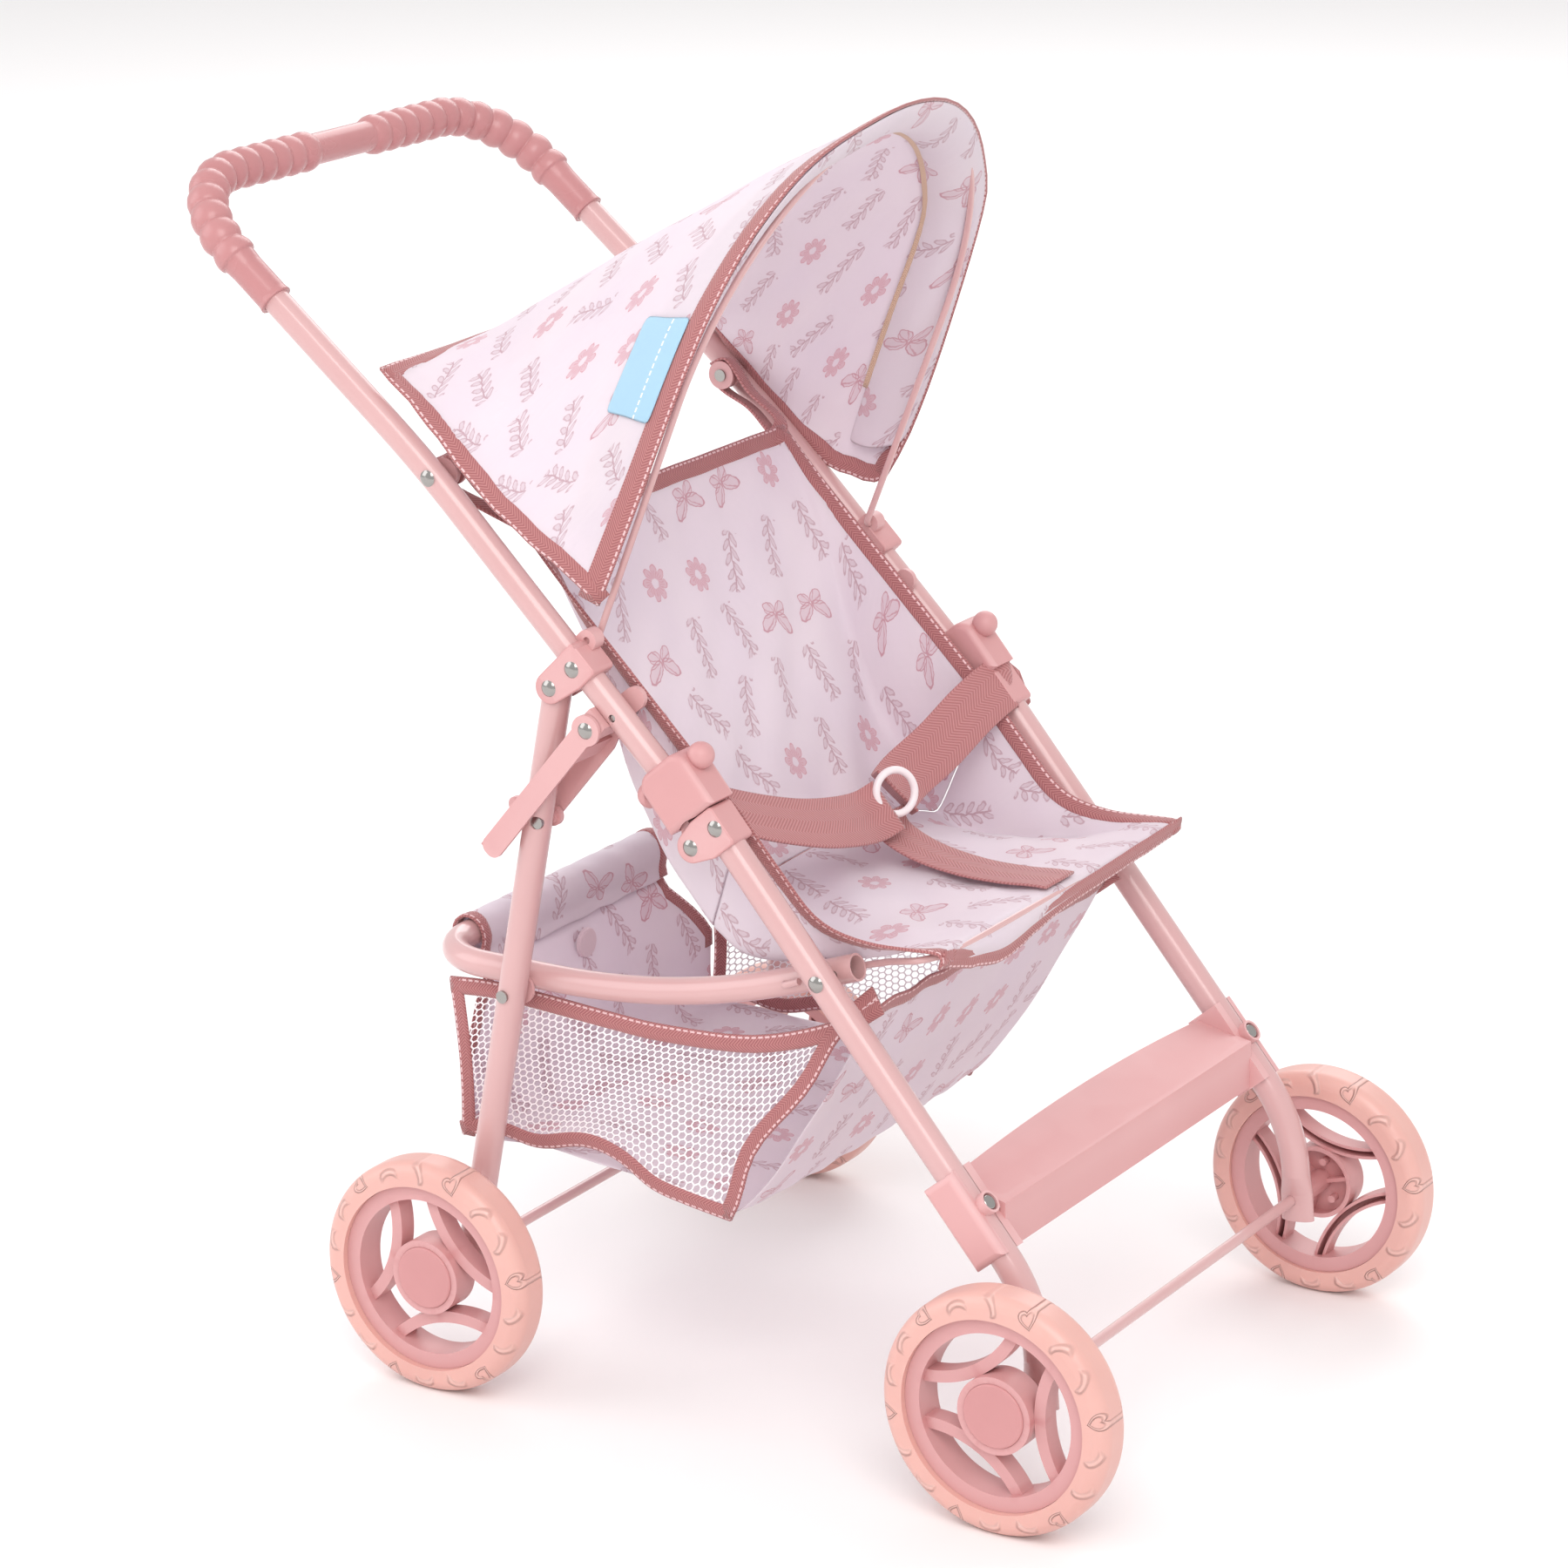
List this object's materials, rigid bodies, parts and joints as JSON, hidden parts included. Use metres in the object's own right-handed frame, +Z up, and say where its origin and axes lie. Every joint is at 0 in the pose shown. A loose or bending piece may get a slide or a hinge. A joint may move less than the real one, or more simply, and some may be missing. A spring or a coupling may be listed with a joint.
{
  "type": "doll stroller",
  "caption": "Folding doll stroller with a curved ribbed handle, printed fabric seat, hood and net basket, lap belts, footrest, bear-shaped fold locks and spoked wheels.",
  "frame": {"origin": "on the floor, in the middle of the whole object", "axes": "+X the way the stroller is pushed, +Y to its left, +Z up"},
  "size_m": [0.4886, 0.315, 0.5554],
  "materials": {
    "painted_tube": "glossy pink powder coat",
    "pink_plastic": "moulded, satin",
    "grip_plastic": "soft, semi-gloss",
    "tyre": "soft PVC tyre, satin",
    "plated_steel": "polished rivets",
    "steel_wire": "bright wire",
    "print_fabric": "printed woven polyester",
    "belt_webbing": "herringbone tape",
    "white_plastic": "moulded"
  },
  "bodies": {
    "front_frame": {"lower_leg_right": "painted_tube", "lower_leg_left": "painted_tube", "lower_bracket_right": "pink_plastic", "lower_bracket_left": "pink_plastic", "footrest": "pink_plastic", "front_axle": "painted_tube", "lower_bracket_rivets": "plated_steel", "frame_pivot_rivets": "plated_steel", "footrest_rivets": "plated_steel", "front_push_nuts": "plated_steel", "lap_belt_right": "belt_webbing", "lap_belt_left": "belt_webbing", "belt_ring": "white_plastic"},
    "handle_frame": {"handle_tube": "painted_tube", "handle_grip": "grip_plastic", "upper_bracket_right": "pink_plastic", "upper_bracket_left": "pink_plastic", "hinge_plug_right": "pink_plastic", "hinge_plug_left": "pink_plastic", "upper_bracket_rivets": "plated_steel", "lever_mount_right": "pink_plastic", "lever_mount_left": "pink_plastic", "lever_rivets": "plated_steel", "mount_screws": "plated_steel", "seat_bosses": "pink_plastic", "boss_rivets": "plated_steel", "seat_back": "print_fabric"},
    "rear_legs": {"rear_leg_right": "painted_tube", "rear_leg_left": "painted_tube", "rear_axle": "painted_tube", "leg_catch_right": "pink_plastic", "leg_catch_left": "pink_plastic", "catch_screws": "plated_steel", "rear_pivot_rivets": "plated_steel", "rear_push_nuts": "plated_steel"},
    "basket_frame": {"basket_frame_tube": "painted_tube", "seat_hoop": "steel_wire", "frame_spacers": "pink_plastic", "seat_base": "print_fabric", "basket": "print_fabric", "basket_snap": "white_plastic", "crotch_strap": "belt_webbing"},
    "canopy_hoop": {"canopy_wire": "painted_tube", "canopy": "print_fabric"},
    "lock_sleeve_right": {"lock_sleeve_right": "pink_plastic"},
    "lock_sleeve_left": {"lock_sleeve_left": "pink_plastic"},
    "lock_lever_right": {"lock_lever_right": "pink_plastic"},
    "lock_lever_left": {"lock_lever_left": "pink_plastic"},
    "front_wheel_right": {"front_tyre_right": "tyre", "front_wheel_right": "pink_plastic", "front_hub_cap_right": "pink_plastic"},
    "front_wheel_left": {"front_tyre_left": "tyre", "front_wheel_left": "pink_plastic", "front_hub_cap_left": "pink_plastic"},
    "rear_wheel_right": {"rear_tyre_right": "tyre", "rear_wheel_right": "pink_plastic", "rear_hub_cap_right": "pink_plastic"},
    "rear_wheel_left": {"rear_tyre_left": "tyre", "rear_wheel_left": "pink_plastic", "rear_hub_cap_left": "pink_plastic"}
  },
  "joints": [
    {"name": "fold", "type": "hinge", "parent": "front_frame", "child": "handle_frame", "pos_m": [0.0295, 0, 0.2612], "axis": [0, -1, 0], "range_deg": [0, 120], "deforming": ["seat_back", "seat_base", "basket", "canopy", "lap_belt_right", "lap_belt_left", "crotch_strap", "belt_ring"]},
    {"name": "rear_leg_pivot", "type": "hinge", "parent": "handle_frame", "child": "rear_legs", "pos_m": [-0.0401, 0, 0.3202], "axis": [0, -1, 0], "range_deg": [-76, 0]},
    {"name": "basket_frame_pivot", "type": "hinge", "parent": "front_frame", "child": "basket_frame", "pos_m": [0.0894, 0, 0.2114], "axis": [0, -1, 0], "range_deg": [0, 79]},
    {"name": "canopy_hoop_pivot", "type": "hinge", "parent": "handle_frame", "child": "canopy_hoop", "pos_m": [-0.026, 0, 0.341], "axis": [0, -1, 0], "range_deg": [0, 60], "deforming": ["canopy"]},
    {"name": "lock_sleeve_right_slide", "type": "slide", "parent": "handle_frame", "child": "lock_sleeve_right", "axis": [-0.7071, 0, 0.7071], "range_m": [0, 0.014]},
    {"name": "lock_lever_right_pivot", "type": "hinge", "parent": "handle_frame", "child": "lock_lever_right", "pos_m": [-0.0198, -0.1185, 0.3055], "axis": [0, -1, 0], "range_deg": [-80, 0]},
    {"name": "lock_sleeve_left_slide", "type": "slide", "parent": "handle_frame", "child": "lock_sleeve_left", "axis": [-0.7071, 0, 0.7071], "range_m": [0, 0.014]},
    {"name": "lock_lever_left_pivot", "type": "hinge", "parent": "handle_frame", "child": "lock_lever_left", "pos_m": [-0.0198, 0.1185, 0.3055], "axis": [0, -1, 0], "range_deg": [-80, 0]},
    {"name": "front_wheel_right_spin", "type": "hinge", "parent": "front_frame", "child": "front_wheel_right", "pos_m": [0.1913, -0.1475, 0.053], "axis": [0, 1, 0], "continuous": true},
    {"name": "front_wheel_left_spin", "type": "hinge", "parent": "front_frame", "child": "front_wheel_left", "pos_m": [0.1913, 0.1475, 0.053], "axis": [0, 1, 0], "continuous": true},
    {"name": "rear_wheel_right_spin", "type": "hinge", "parent": "rear_legs", "child": "rear_wheel_right", "pos_m": [-0.0933, -0.1475, 0.053], "axis": [0, 1, 0], "continuous": true},
    {"name": "rear_wheel_left_spin", "type": "hinge", "parent": "rear_legs", "child": "rear_wheel_left", "pos_m": [-0.0933, 0.1475, 0.053], "axis": [0, 1, 0], "continuous": true}
  ],
  "couplings": [
    {"joint": "rear_leg_pivot", "follows": "fold", "ratio": -0.63},
    {"joint": "basket_frame_pivot", "follows": "fold", "ratio": 0.658},
    {"joint": "lock_lever_right_pivot", "follows": "fold", "ratio": -0.66},
    {"joint": "lock_lever_left_pivot", "follows": "fold", "ratio": -0.66}
  ]
}
